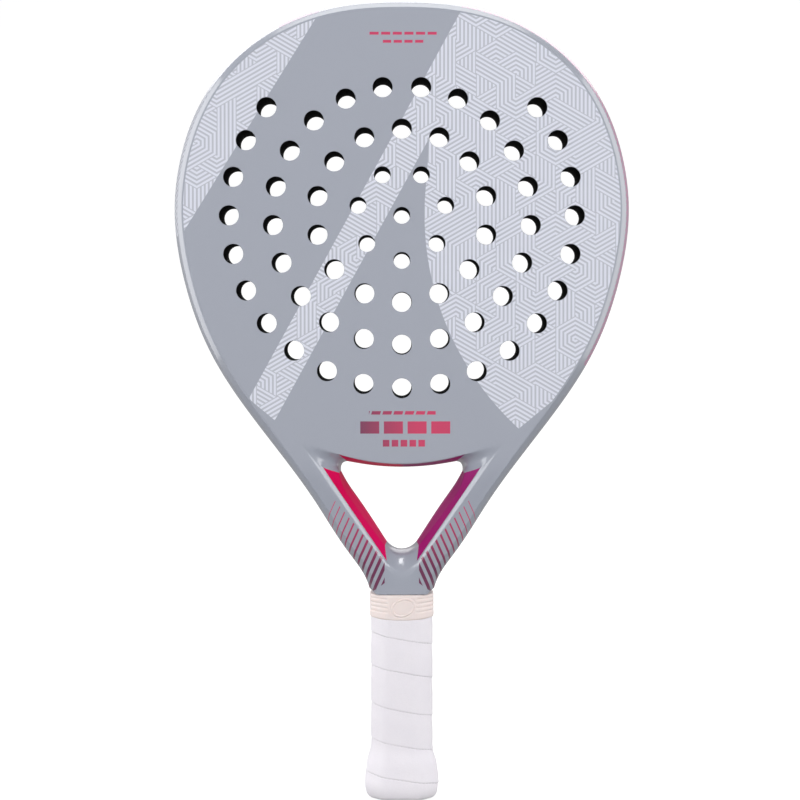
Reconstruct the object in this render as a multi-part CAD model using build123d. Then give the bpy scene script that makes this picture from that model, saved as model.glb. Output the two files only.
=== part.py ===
from build123d import *
import os
from math import cos, pi, sin

# A padel racket: a foam-cored, perforated bat with a hollow moulded frame.
# Millimetres. +Z runs from the butt to the tip, +X across the face, and the front faces -Y.
# The origin is the middle of the butt's lowest point, halfway through the thickness.

# Overall size
LENGTH = 455.0
HALF_WIDTH = 130.0
HALF_THICKNESS = 19.0

# Outline of the moulded frame, right half, from the neck to the tip: (half width, height).
# It starts below the neck's flat bottom, where the frame is cut off square.
NECK_BOTTOM = 118.6
OUTLINE = [
    (16.6, 112.0),
    (19.4, 124.7),
    (30.3, 141.9),
    (49.1, 170.4),
    (83.6, 216.0),
    (109.9, 256.0),
    (124.5, 296.0),
    (HALF_WIDTH, 338.0),
    (126.7, 364.5),
    (110.5, 404.5),
    (82.8, 433.0),
    (46.0, 450.0),
    (0.0, LENGTH),
]
OUTLINE_STEPS = 60

# Bevelled edge of the frame: (inset from the outline, distance from the middle plane),
# and how far each of those moves for a surface that lies 1 mm deeper
EDGE_BEVEL = [(6.7, HALF_THICKNESS), (2.6, 14.5), (0.0, 9.0)]
EDGE_INWARD = [(0.5, 1.0), (1.0, 0.5), (1.0, 0.0)]
FACE_INSET = EDGE_BEVEL[0][0]

# How the frame thins from the head to the neck: (height, half depth)
SIDE_PROFILE = [(NECK_BOTTOM, 14.5), (140.0, 14.9), (170.0, 16.8), (193.0, HALF_THICKNESS)]

# Hollow tube that forms the hoop, the throat arms and the two legs in the handle
TUBE_WIDTH = 14.0
TUBE_WALL = 1.6
BLADDER_WALL = 0.5
LEG_HALF_WIDTH = 13.4
LEG_GAP = 4.0
LEG_BOTTOM = 32.0

# Throat opening: a rounded triangle at each depth, widening towards the faces:
# (depth, top's middle, upper corner, its radius, lower point, its radius)
THROAT_TOP = 189.7
THROAT_LAYERS = [
    (0.0, THROAT_TOP, (41.5, 196.9), 5.5, 134.3, 10.6),
    (9.0, 191.2, (45.3, 199.8), 7.1, 131.4, 12.2),
    (14.5, 192.0, (45.3, 200.6), 8.0, 116.0, 10.4),
    (19.5, 193.3, (57.5, 204.8), 2.0, 78.0, 12.0),
]

# Bridge between the arms, above the throat; its ends are flat and slope outwards
BRIDGE_HEIGHT = 17.0
BRIDGE_WALL = 2.0
BRIDGE_END_LOW = (27.0, 182.0)
BRIDGE_END_HIGH = (50.0, 218.0)

# Laminated wrap round the neck
NECK_WRAP_TOP = 150.0
NECK_WRAP_WALL = 1.2

# Face skins, whose lower edge follows the bridge and then slopes up to the rim
SKIN = 1.0
SKIN_EDGE_MIDDLE = 193.6
SKIN_EDGE_TURN = (35.8, 198.6)
SKIN_EDGE_SLOPE = 0.427

# Drilled holes: rings about one centre, each ring with seven holes more than the last.
# The outer ring stops short of the tip: its holes reach this many steps from straight down.
HOLE_CENTRE = 332.4
RING_RADII = [25.2, 48.5, 72.5, 97.0]
HOLES_ADDED_PER_RING = 7
OUTER_RING_REACH = 10
SMALL_HOLE_RADIUS = 4.7
LARGE_HOLE_RADIUS = 5.6

# Handle: octagonal sections, each given by its half width
OCTAGON_CUT = 0.46
WIDER_THAN_DEEP = 1.7
SHELL_HALF_WIDTH = 15.0
SHELL_WALL = 1.5
SHELL_BOTTOM = 14.0
GRIP_HALF_WIDTH = 17.15
GRIP_TOP = 108.6

# Grip wrap and butt cap, from the bottom up: (height, half width)
GRIP_PROFILE = [
    (1.2, 15.6),
    (4.9, 19.7),
    (10.6, 20.6),
    (16.3, 20.0),
    (22.0, 19.1),
    (28.0, 17.5),
    (34.0, GRIP_HALF_WIDTH),
    (GRIP_TOP, GRIP_HALF_WIDTH),
]
CAP_PROFILE = [
    (0.0, 12.0),
    (2.0, 14.8),
    (5.0, 17.7),
    (10.5, 18.7),
    (16.5, 18.1),
    (22.0, 17.2),
    (30.0, SHELL_HALF_WIDTH + 0.2),
]
CAP_END_WALL = 4.0
CAP_SPIGOT_WALL = 2.5
CORD_HOLE_RADIUS = 3.0

# Staples that hold the butt cap, one at the front and one at the back
STAPLE_HEIGHT = 22.0
STAPLE_WIDTH = 10.0
STAPLE_WIRE = 1.0
STAPLE_LEG = 6.0
STAPLE_CROWN_DEPTH = 15.3

# Finishing tape and rubber collar over the top of the grip
TAPE_BOTTOM = 105.2
TAPE_THICKNESS = 0.25
COLLAR_BOTTOM = 104.0
COLLAR_TOP = 118.3
COLLAR_HALF_WIDTH = 18.0
COLLAR_EDGE_HALF_WIDTH = 17.6
COLLAR_EDGE = 1.2

FAR = 300.0


def outline_edge():
    """The frame's outline in the middle plane, from the neck's right over the tip to its left."""
    right = [(x, 0, z) for x, z in OUTLINE]
    left = [(-x, 0, z) for x, z in reversed(OUTLINE[:-1])]
    return Spline(right + left)


def section(inset, y=0.0):
    """The frame's outline moved inwards by inset, at depth y, as a face."""
    edge = outline_edge()
    points = []
    for step in range(OUTLINE_STEPS + 1):
        place = edge @ (step / OUTLINE_STEPS)
        along = edge % (step / OUTLINE_STEPS)
        points.append((place.X - inset * along.Z, y, place.Z + inset * along.X))
    return Face(Wire([Spline(points), Line(points[-1], points[0])]))


def through(face, low=-HALF_THICKNESS, high=HALF_THICKNESS):
    """A face in the middle plane turned into a solid that reaches from low to high along Y."""
    return Pos(0, low, 0) * extrude(face, amount=high - low, dir=(0, 1, 0))


def polygon(points):
    """A face in the middle plane from (x, height) corners."""
    return Face(Wire(Polyline(*[(x, 0, z) for x, z in points], close=True)))


def block(x, y, z):
    """A box from its (low, high) reach along each axis."""
    size = [high - low for low, high in (x, y, z)]
    middle = [(high + low) / 2 for low, high in (x, y, z)]
    return Pos(*middle) * Box(*size)


def above_skin_edge(rise=0.0):
    """The region above the skins' lower edge: a shallow arc, then a slope on each side."""
    turn_x, turn_z = SKIN_EDGE_TURN
    far_z = turn_z + (FAR - turn_x) * SKIN_EDGE_SLOPE
    right = [(turn_x, 0, turn_z + rise), (FAR, 0, far_z + rise), (FAR, 0, 2 * FAR)]
    left = [(-x, 0, z) for x, _, z in reversed(right)]
    arc = ThreePointArc(left[-1], (0, 0, SKIN_EDGE_MIDDLE + rise), right[0])
    return Face(Wire([*Polyline(*right, *left).edges(), arc]))


def core_window(grow=0.0):
    """The opening that the foam core fills, inside the hoop and above the bridge."""
    rise = THROAT_TOP + BRIDGE_HEIGHT - SKIN_EDGE_MIDDLE - grow
    return section(TUBE_WIDTH - grow) & above_skin_edge(rise)


def throat_layer(top, corner, corner_radius, point, point_radius):
    """The throat opening at one depth: a triangle with an arched top and rounded corners."""
    corner_x, corner_z = corner
    left, right, low = (-corner_x, 0, corner_z), (corner_x, 0, corner_z), (0, 0, point)
    arch = ThreePointArc(right, (0, 0, top), left)
    face = Face(Wire([arch, Line(left, low), Line(low, right)]))
    face = face.fillet_2d(point_radius, face.vertices().sort_by(Axis.Z)[:1])
    return face.fillet_2d(corner_radius, face.vertices().sort_by(Axis.Z)[-2:])


def throat(grow=0.0):
    """A solid that fills the throat opening and sticks out past both faces."""
    layers = []
    for depth, *shape in THROAT_LAYERS:
        wire = throat_layer(*shape).outer_wire()
        if grow > 0:
            wire = wire.offset_2d(grow)
        layers.append(Pos(0, depth, 0) * Face(wire))
    back = loft(layers, ruled=True)
    return back + mirror(back, about=Plane.XZ)


def frame_body(deeper=0.0):
    """The whole moulded frame as a solid, with its outer surface moved inwards."""
    sides = []
    for (inset, y), (inset_move, y_move) in zip(EDGE_BEVEL, EDGE_INWARD):
        sides.append((inset + inset_move * deeper, y - y_move * deeper))
    layers = [section(inset, -y) for inset, y in sides]
    layers += [section(inset, y) for inset, y in reversed(sides)]
    body = loft(layers, ruled=True)
    profile = [*SIDE_PROFILE, (LENGTH, HALF_THICKNESS)]
    back = [(0, y - deeper, z) for z, y in profile]
    front = [(0, deeper - y, z) for z, y in reversed(profile)]
    side_view = Face(Wire(Polyline(*back, *front, close=True)))
    return body & extrude(side_view, amount=FAR, dir=(1, 0, 0), both=True)


def bridge_zone(grow=0.0):
    """The space between the bridge's two flat ends, as a solid."""
    (low_x, low_z), (high_x, high_z) = BRIDGE_END_LOW, BRIDGE_END_HIGH
    right = [(low_x + grow, low_z), (high_x + grow, high_z)]
    return through(polygon(right + [(-x, z) for x, z in reversed(right)]))


def octagon(half_width, z):
    """The handle's octagonal section at height z, as a face."""
    half_depth = half_width - WIDER_THAN_DEEP
    keep = 1 - OCTAGON_CUT
    quarter = [(half_width, keep * half_depth), (keep * half_width, half_depth)]
    half = quarter + [(-x, y) for x, y in reversed(quarter)]
    whole = half + [(-x, -y) for x, y in half]
    return Face(Wire(Polyline(*[(x, y, z) for x, y in whole], close=True)))


def octagon_bar(half_width, low, high):
    return extrude(octagon(half_width, low), amount=high - low, dir=(0, 0, 1))


def octagon_loft(profile):
    return loft([octagon(half_width, z) for z, half_width in profile], ruled=True)


def hole_places():
    """(x, height, radius) of every drilled hole."""
    places = [(0.0, HOLE_CENTRE, SMALL_HOLE_RADIUS)]
    for ring, ring_radius in enumerate(RING_RADII, start=1):
        count = HOLES_ADDED_PER_RING * ring
        steps = range(count)
        if ring == len(RING_RADII):
            steps = range(-OUTER_RING_REACH, OUTER_RING_REACH + 1)
        radius = SMALL_HOLE_RADIUS if ring == 1 else LARGE_HOLE_RADIUS
        for step in steps:
            angle = 2 * pi * step / count
            x, z = ring_radius * sin(angle), HOLE_CENTRE - ring_radius * cos(angle)
            places.append((x, z, radius))
    return places


def drilled(face):
    """The face with every drilled hole cut out of it."""
    holes = []
    for x, z, radius in hole_places():
        place = Plane(origin=(x, 0, z), z_dir=(0, -1, 0))
        holes.append(Wire(Edge.make_circle(radius, place)))
    return Face(face.outer_wire(), holes)


def neck_slab():
    return block((-FAR, FAR), (-FAR, FAR), (NECK_BOTTOM, NECK_WRAP_TOP))


def leg_strip(half_width):
    """The space between the tube's two legs, below the throat."""
    reach = (-half_width, half_width)
    return block(reach, (-HALF_THICKNESS, HALF_THICKNESS), (0, NECK_WRAP_TOP))


def tube_void(deeper):
    """The space inside the frame tube, this far below the neck wrap's inner surface."""
    below = NECK_WRAP_WALL + deeper
    hoop = frame_body(below) & block((-FAR, FAR), (-FAR, FAR), (NECK_BOTTOM + deeper + 1, LENGTH))
    legs = octagon_bar(LEG_HALF_WIDTH - deeper, LEG_BOTTOM, NECK_BOTTOM + deeper + 2)
    void = hoop + legs - through(core_window(deeper)) - throat(below)
    return void - bridge_zone(deeper) - leg_strip(LEG_GAP / 2 + deeper)


def make_skin(side):
    """One face skin, at the front for side -1 and at the back for side 1."""
    face = drilled(section(FACE_INSET) & above_skin_edge())
    low, high = sorted([side * (HALF_THICKNESS - SKIN), side * HALF_THICKNESS])
    return through(face, low, high)


def make_eva_core():
    inner = HALF_THICKNESS - SKIN
    return through(drilled(core_window()), -inner, inner)


def make_frame_parts():
    """The tube, its bladder, the bridge with its foam, the neck wrap and the handle foam."""
    rebate = through(section(FACE_INSET) & above_skin_edge())
    inner = HALF_THICKNESS - SKIN
    rebate -= through(section(0), -inner, inner)
    body = frame_body() - through(core_window()) - throat() - rebate
    under_wrap = frame_body(NECK_WRAP_WALL) - throat(NECK_WRAP_WALL)

    neck_wrap = (body & neck_slab()) - under_wrap

    bridge_block = body & bridge_zone()
    foam_space = frame_body(BRIDGE_WALL) - through(core_window(BRIDGE_WALL)) - throat(BRIDGE_WALL)
    bridge_foam = foam_space & bridge_zone()
    bridge = bridge_block - bridge_foam

    solid_tube = (body - bridge_zone() - neck_slab()) + (under_wrap & neck_slab())
    solid_tube += octagon_bar(LEG_HALF_WIDTH, LEG_BOTTOM, NECK_BOTTOM + 1)
    handle_foam = solid_tube & leg_strip(LEG_GAP / 2)
    void = tube_void(TUBE_WALL)
    tube = solid_tube - leg_strip(LEG_GAP / 2) - void
    bladder = void - tube_void(TUBE_WALL + BLADDER_WALL)
    return {
        "frame_tube": tube,
        "frame_bladder": bladder,
        "throat_bridge": bridge,
        "bridge_foam": bridge_foam,
        "neck_wrap": neck_wrap,
        "handle_foam": handle_foam,
    }


def make_staple(side):
    """One staple: a flat crown and two legs that point inwards."""
    crown_out, crown_in = side * STAPLE_CROWN_DEPTH, side * (STAPLE_CROWN_DEPTH - STAPLE_WIRE)
    leg_in = side * (STAPLE_CROWN_DEPTH - STAPLE_LEG)
    half, wire = STAPLE_WIDTH / 2, STAPLE_WIRE / 2
    height = (STAPLE_HEIGHT - wire, STAPLE_HEIGHT + wire)
    staple = block((-half, half), sorted([crown_out, crown_in]), height)
    for leg_side in (-1, 1):
        across = sorted([leg_side * half, leg_side * (half - STAPLE_WIRE)])
        staple += block(across, sorted([crown_out, leg_in]), height)
    return staple


def make_handle_parts():
    """Everything that is built up round the tube's legs."""
    shell_top = NECK_BOTTOM
    shell_inner = SHELL_HALF_WIDTH - SHELL_WALL
    shell = octagon_bar(SHELL_HALF_WIDTH, SHELL_BOTTOM, shell_top)
    shell -= octagon_bar(shell_inner, SHELL_BOTTOM, shell_top)

    cap_top = CAP_PROFILE[-1][0]
    cap_outside = octagon_loft(CAP_PROFILE)
    cap = cap_outside - octagon_bar(SHELL_HALF_WIDTH, SHELL_BOTTOM, cap_top)
    cap += octagon_bar(shell_inner, SHELL_BOTTOM, cap_top)
    cap -= octagon_bar(shell_inner - CAP_SPIGOT_WALL, CAP_END_WALL, cap_top)
    cap -= Cylinder(CORD_HOLE_RADIUS, 2 * CAP_END_WALL)

    staples = [make_staple(-1), make_staple(1)]
    for staple in staples:
        cap -= staple
        shell -= staple

    wrap = octagon_loft(GRIP_PROFILE) - octagon_bar(SHELL_HALF_WIDTH, 0, GRIP_TOP) - cap_outside

    tape = octagon_bar(GRIP_HALF_WIDTH + TAPE_THICKNESS, TAPE_BOTTOM, GRIP_TOP)
    tape -= octagon_bar(GRIP_HALF_WIDTH, TAPE_BOTTOM, GRIP_TOP)

    collar = octagon_loft(
        [
            (COLLAR_BOTTOM, COLLAR_EDGE_HALF_WIDTH),
            (COLLAR_BOTTOM + COLLAR_EDGE, COLLAR_HALF_WIDTH),
            (COLLAR_TOP - COLLAR_EDGE, COLLAR_HALF_WIDTH),
            (COLLAR_TOP, COLLAR_EDGE_HALF_WIDTH),
        ]
    )
    collar -= octagon_bar(SHELL_HALF_WIDTH, COLLAR_BOTTOM, COLLAR_TOP)
    collar -= octagon_bar(GRIP_HALF_WIDTH, COLLAR_BOTTOM, GRIP_TOP) + tape
    return {
        "handle_shell": shell,
        "butt_cap": cap,
        "butt_cap_staples": Compound(children=staples),
        "grip_wrap": wrap,
        "finishing_tape": tape,
        "rubber_collar": collar,
    }


def main():
    nodes = {
        "eva_core": make_eva_core(),
        "front_face_skin": make_skin(-1),
        "rear_face_skin": make_skin(1),
        **make_frame_parts(),
        **make_handle_parts(),
    }
    os.makedirs("parts", exist_ok=True)
    for name, shape in nodes.items():
        export_step(shape, f"parts/{name}.step")


main()
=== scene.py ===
import math

import bmesh
import bpy
import numpy as np
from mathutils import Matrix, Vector
from mathutils.geometry import delaunay_2d_cdt


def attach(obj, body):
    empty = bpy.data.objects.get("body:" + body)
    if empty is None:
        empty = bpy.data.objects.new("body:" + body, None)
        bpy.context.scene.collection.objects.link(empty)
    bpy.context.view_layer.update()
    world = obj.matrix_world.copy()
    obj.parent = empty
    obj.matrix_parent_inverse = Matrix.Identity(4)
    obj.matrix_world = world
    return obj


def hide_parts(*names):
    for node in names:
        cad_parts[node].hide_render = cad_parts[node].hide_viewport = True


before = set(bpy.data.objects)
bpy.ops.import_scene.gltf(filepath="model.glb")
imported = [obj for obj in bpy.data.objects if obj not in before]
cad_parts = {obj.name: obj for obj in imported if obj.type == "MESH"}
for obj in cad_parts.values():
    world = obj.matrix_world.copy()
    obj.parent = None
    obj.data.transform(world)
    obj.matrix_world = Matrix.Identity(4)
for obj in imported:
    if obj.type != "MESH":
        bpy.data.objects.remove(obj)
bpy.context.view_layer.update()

# A padel racket: its moulded frame, face plates, foam core and wrapped grip.
# Sizes are in millimetres and are turned into metres when a mesh is made.
# +Z runs from the butt to the tip, and the front faces -Y.

MM = 0.001

# Camera, in metres
CAMERA_PLACE = (-0.0034, -1.128, 0.2763)
CAMERA_TARGET = (-0.001, 0.0, 0.2527)
CAMERA_LENS = 88.9
CAMERA_SHIFT_UP = -0.054

# Frame outline, right half, from the neck to the tip: (half width, height)
OUTLINE = [
    (16.6, 112.0),
    (19.6, 124.9),
    (30.7, 142.1),
    (49.3, 170.7),
    (83.0, 216.3),
    (108.9, 256.2),
    (123.2, 296.0),
    (128.6, 338.0),
    (125.4, 364.3),
    (109.4, 404.0),
    (82.0, 432.3),
    (45.6, 449.1),
    (0.0, 454.0),
]
NECK_BOTTOM = 118.6
NECK_CORNER = 2.4
HALF_THICKNESS = 19.0
NECK_HALF_THICKNESS = 14.5
THINNING_START = 125.0
THINNING_REACH = 75.0

# Edge of the frame, from the middle plane to the face: (inset, depth) on the hoop and on the arms
HOOP_EDGE = [
    (0, 0), (0, 7.6), (0.1, 8.6), (0.4, 9.6), (1.9, 13.9), (2.1, 14.3), (2.2, 14.3),
    (2.3, 14.6), (2.5, 14.95), (4.9, 18.66), (5.1, 18.82), (5.9, 18.86), (6.0, 19),
]
ARM_EDGE = [
    (0, 0), (0, 7.6), (0.1, 8.6), (0.35, 9.6), (1.4, 13.8), (1.55, 14.2), (1.62, 14.2),
    (1.7, 14.45), (1.8, 14.7), (3.1, 17.4), (4.0, 18.6), (4.2, 18.83), (4.4, 19),
]
EDGE_CHANGE_START = 180.0
EDGE_CHANGE_REACH = 50.0
ARM_STATIONS = 40
HOOP_STATIONS = 220

# Face plates: their lower edge is a shallow arc over the throat, then a slope on each side
PLATE_EDGE_MIDDLE = 193.6
PLATE_EDGE_TURN = (35.8, 198.6)
PLATE_EDGE_SLOPE = 0.427
PLATE_THICKNESS = 1.0
CORE_INSET = 14.0
CORE_RISE = 13.1

# Drilled holes
HOLE_CENTRE = 332.4
RING_RADII = [25.2, 48.5, 72.5, 97.0]
HOLES_ADDED_PER_RING = 7
OUTER_RING_REACH = 10
SMALL_HOLE_RADIUS = 4.7
LARGE_HOLE_RADIUS = 5.6
HOLE_CHAMFER = 0.2
HOLE_STEPS = 64

# Throat: five loops from the face to the middle plane, each as (x, height, drop below the face)
THROAT_SHOULDER = {
    "crotch": [(0, 127.7, 0), (4.9, 127.7, 0), (9.1, 134.2, 0)],
    "arm": [(9.1, 134.2, 0), (57, 204, 0)],
    "corner": [(57, 204, 0), (35.8, 198.6, 0)],
    "bridge": [(35.8, 198.6, 0), (17.9, 193.1, 0), (0, 193.1, 0)],
}
THROAT_RIDGE = {
    "crotch": [(0, 133, 0.9), (4.6, 133, 0.9), (8.5, 137.2, 0.9)],
    "arm": [(8.5, 137.2, 0.9), (44.8, 191, 0.9)],
    "corner": [(44.8, 191, 0.9), (42.6, 195.0, 2.6), (39.4, 197.3, 2.0), (35.6, 198.25, 0.4)],
    "bridge": [(35.6, 198.25, 0.4), (17.9, 192.75, 0.4), (0, 192.75, 0.4)],
}
THROAT_CREASE = {
    "crotch": [(0, 140.2, 5), (5.0, 140.2, 5), (9.5, 145.5, 5)],
    "arm": [(9.5, 145.5, 5), (27.7, 170.7, 5), (33.8, 181.2, 5), (35.4, 187.5, 5)],
    "corner": [(35.4, 187.5, 5), (36.6, 191.2, 6.5), (35.7, 194.4, 6.5), (33.0, 195.8, 5)],
    "bridge": [(33.0, 195.8, 5), (17.0, 192.0, 5), (0, 192.0, 5)],
}
THROAT_OPENING = {
    "crotch": [(0, 142.9, 0), (5.0, 142.9, 0), (8.6, 147.4, 0)],
    "arm": [(8.6, 147.4, 0), (25.3, 172.7, 0), (31.5, 181.8, 0), (34.7, 187.6, 0)],
    "corner": [(34.7, 187.6, 0), (34.6, 190.3, 0), (33.4, 192.4, 0), (31.0, 193.2, 0)],
    "bridge": [(31.0, 193.2, 0), (16.0, 189.8, 0), (0, 189.8, 0)],
}
THROAT_STATIONS = {"crotch": 14, "arm": 30, "corner": 18, "bridge": 20}
THROAT_WALL_FLARE = 0.5
THROAT_WALL_DEPTH = 5.0

# Foam inside the bridge
FILLER_REACH = 33.0
FILLER_LOW = 196.5
FILLER_ARCH = 4.0
FILLER_GAP = 2.0
FILLER_HALF_DEPTH = 15.5

# Handle: octagonal sections
OCTAGON_KEEP = 0.54
WIDER_THAN_DEEP = 1.7
SHELL_HALF_WIDTH = 15.0
LEG_HALF_WIDTH = 13.4
LEG_GAP = 4.0
LEG_BOTTOM = 32.0
GRIP_PROFILE = [
    (1.2, 15.6), (2.2, 18.0), (4.9, 19.7), (10.6, 20.6), (16.3, 20.0), (22.0, 19.1),
    (28.0, 17.5), (34.0, 17.15), (60.0, 17.15), (108.6, 17.15),
]
GRIP_CORNER = 3.2
WRAP_SEAMS = [133.0, 112.8, 93.0, 74.4, 52.4, 32.5, 13.9, -5.5, -25.5]
WRAP_RELIEF = 0.45
WRAP_EDGE = 0.035
WRAP_ROW = 0.35
WRAP_SPLIT = 3
COLLAR_BOTTOM = 104.0
COLLAR_TOP = 118.3
COLLAR_HALF_WIDTH = 18.15
COLLAR_CORNER = 4.0
TAPE_BOTTOM = 105.2
TAPE_TOP = 108.6
TAPE_HALF_WIDTH = 17.4
COLLAR_RIBS = [116.0, 113.4, 110.9, 108.4]
COLLAR_SPLIT = 8
COLLAR_EDGE_RISE = 1.2
COLLAR_OVAL = (0.75, 111.3)
COLLAR_OVAL_HALF_SIZE = (6.4, 4.6)
# How far the oval is turned, as the cosine and sine of about 20 degrees
COLLAR_OVAL_TURN = (0.94, 0.34)
COLLAR_ROUNDING_REACH = 1.2


def smooth(share):
    """0 below 0, 1 above 1, and an S-curve in between."""
    share = np.clip(share, 0, 1)
    return share * share * (3 - 2 * share)


class Curve:
    """A smooth curve through points, with natural ends, followed by its chord length."""

    def __init__(self, points):
        self.points = np.array(points, float)
        self.chords = np.linalg.norm(np.diff(self.points, axis=0), axis=1)
        self.knots = np.concatenate([[0], np.cumsum(self.chords)])
        self.length = self.knots[-1]
        count = len(self.points)
        matrix = np.eye(count)
        right = np.zeros_like(self.points)
        slopes = np.diff(self.points, axis=0) / self.chords[:, None]
        for i in range(1, count - 1):
            before, after = self.chords[i - 1 : i + 1]
            matrix[i, i - 1 : i + 2] = before, 2 * (before + after), after
            right[i] = 6 * (slopes[i] - slopes[i - 1])
        self.bends = np.linalg.solve(matrix, right)

    def at(self, s):
        i = np.clip(np.searchsorted(self.knots, s, side="right") - 1, 0, len(self.chords) - 1)
        chord = self.chords[i][:, None]
        after = (s[:, None] - self.knots[i][:, None]) / chord
        before = 1 - after
        bend = (before**3 - before) * self.bends[i] + (after**3 - after) * self.bends[i + 1]
        return before * self.points[i] + after * self.points[i + 1] + bend * chord**2 / 6


def half_depth(z):
    """How far the face is from the middle plane at height z."""
    rise = smooth((z - THINNING_START) / THINNING_REACH)
    return NECK_HALF_THICKNESS + (HALF_THICKNESS - NECK_HALF_THICKNESS) * rise


# ---------------------------------------------------------------- outline rails

OUTLINE_CURVE = Curve(OUTLINE + [(-x, z) for x, z in reversed(OUTLINE[:-1])])


def edge_share(z):
    """0 on the arms and 1 on the hoop."""
    return smooth((z - EDGE_CHANGE_START) / EDGE_CHANGE_REACH)


def inset_outline(s, arm_inset, hoop_inset):
    """Points of the outline at s, moved inwards by an inset that differs between arms and hoop."""
    place = OUTLINE_CURVE.at(s)
    ahead = OUTLINE_CURVE.at(s + 0.01) - OUTLINE_CURVE.at(s - 0.01)
    ahead /= np.linalg.norm(ahead, axis=1)[:, None]
    inset = arm_inset + (hoop_inset - arm_inset) * edge_share(place[:, 1])
    return place + inset[:, None] * np.column_stack([-ahead[:, 1], ahead[:, 0]])


def plate_edge_height(x, rise=0.0):
    """Height of the plates' lower edge."""
    turn_x, turn_z = PLATE_EDGE_TURN
    arc = PLATE_EDGE_MIDDLE + (turn_z - PLATE_EDGE_MIDDLE) * (x / turn_x) ** 2
    slope = turn_z + (np.abs(x) - turn_x) * PLATE_EDGE_SLOPE
    return rise + np.where(np.abs(x) < turn_x, arc, slope)


def crossing(arm_inset, hoop_inset, line):
    """Where, on the right half, the inset outline first rises over a line height(x)."""
    s = np.linspace(0, OUTLINE_CURVE.length / 2, 4001)
    points = inset_outline(s, arm_inset, hoop_inset)
    over = points[:, 1] - line(points[:, 0])
    i = int(np.argmax(over > 0))
    return s[i - 1] + (s[i] - s[i - 1]) * over[i - 1] / (over[i - 1] - over[i])


FACE_ARM_INSET, FACE_HOOP_INSET = ARM_EDGE[-1][0], HOOP_EDGE[-1][0]
PLATE_CORNER = crossing(FACE_ARM_INSET, FACE_HOOP_INSET, plate_edge_height)
CORE_CORNER = crossing(CORE_INSET, CORE_INSET, lambda x: plate_edge_height(x, CORE_RISE))


def rail(arm_inset, hoop_inset):
    """The inset outline from the neck's bottom right to its bottom left, in matching stations."""
    low = crossing(arm_inset, hoop_inset, lambda x: NECK_BOTTOM + 0 * x)
    high = OUTLINE_CURVE.length - PLATE_CORNER
    s = np.concatenate(
        [
            np.linspace(low, PLATE_CORNER, ARM_STATIONS, endpoint=False),
            np.linspace(PLATE_CORNER, high, HOOP_STATIONS, endpoint=False),
            np.linspace(high, OUTLINE_CURVE.length - low, ARM_STATIONS + 1),
        ]
    )
    return inset_outline(s, arm_inset, hoop_inset)


def plate_edge(start, end, rise=0.0):
    """The plates' lower edge between two points, without its end points."""
    turn = PLATE_EDGE_TURN[0]
    right = np.linspace(start, turn, 12)[1:-1]
    middle = np.linspace(turn, -turn, 41)
    x = np.concatenate([right, middle, np.linspace(-turn, end, 12)[1:-1]])
    return np.column_stack([x, plate_edge_height(x, rise)])


def hoop_loop(points, rise=0.0):
    """A closed loop: the given hoop points, then along the plates' lower edge back to the start."""
    closing = plate_edge(-points[-1][0], -points[0][0], rise) * [-1, 1]
    return np.concatenate([points, closing])


# ---------------------------------------------------------------- mesh helpers


class Builder:
    """Collects vertices in millimetres and faces with a material number."""

    def __init__(self):
        self.vertices = []
        self.faces = []
        self.materials = []

    def add(self, points):
        first = len(self.vertices)
        self.vertices += [tuple(p) for p in points]
        return np.arange(first, len(self.vertices))

    def face(self, corners, material=0):
        self.faces.append([int(c) for c in corners])
        self.materials.append(material)

    def grid(self, rows, closed=False, material=0):
        """Quads between rows of points. A closed grid joins each row's end to its start."""
        ids = [self.add(row) for row in rows]
        columns = len(ids[0])
        for low, high in zip(ids, ids[1:]):
            for i in range(columns if closed else columns - 1):
                j = (i + 1) % columns
                self.face((low[i], low[j], high[j], high[i]), material)
        return ids

    def flat(self, loops, depth, spacing=0.0):
        """Fills the space between loops of (x, z); depth is a number or a function of height."""
        points, triangles = fill(loops, spacing)
        y = depth(points[:, 1]) if callable(depth) else np.full(len(points), depth)
        ids = self.add(np.column_stack([points[:, 0], y, points[:, 1]]))
        for triangle in triangles:
            self.face(ids[triangle])

    def wall(self, loop, low, high, material=0):
        """A wall round a loop of (x, z), between two depths."""
        rows = [[(x, depth, z) for x, z in loop] for depth in (low, high)]
        self.grid(rows, closed=True, material=material)

    def mirror_back(self):
        """Adds the rear half as a mirror image in the middle plane."""
        count = len(self.vertices)
        self.vertices += [(x, -y, z) for x, y, z in self.vertices]
        self.faces += [[count + c for c in face] for face in self.faces]
        self.materials += self.materials

    def build(self, name, materials, sharp=30.0, close=False):
        """Makes the object: welded, with outward faces and soft shading below the sharp angle."""
        mesh = bpy.data.meshes.new(name)
        mesh.from_pydata([Vector(v) * MM for v in self.vertices], [], self.faces)
        for material in materials:
            mesh.materials.append(material)
        mesh.polygons.foreach_set("material_index", self.materials)
        work = bmesh.new()
        work.from_mesh(mesh)
        bmesh.ops.remove_doubles(work, verts=work.verts, dist=0.002 * MM)
        bmesh.ops.dissolve_degenerate(work, dist=0.0005 * MM, edges=work.edges)
        if close:
            bmesh.ops.holes_fill(work, edges=[e for e in work.edges if e.is_boundary])
        bmesh.ops.recalc_face_normals(work, faces=work.faces)
        work.to_mesh(mesh)
        work.free()
        mesh.shade_smooth()
        mesh.set_sharp_from_angle(angle=math.radians(sharp))
        made = bpy.data.objects.new(name, mesh)
        bpy.context.scene.collection.objects.link(made)
        shading = made.modifiers.new("shading", "WEIGHTED_NORMAL")
        shading.keep_sharp = True
        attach(made, "root")
        return made


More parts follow.
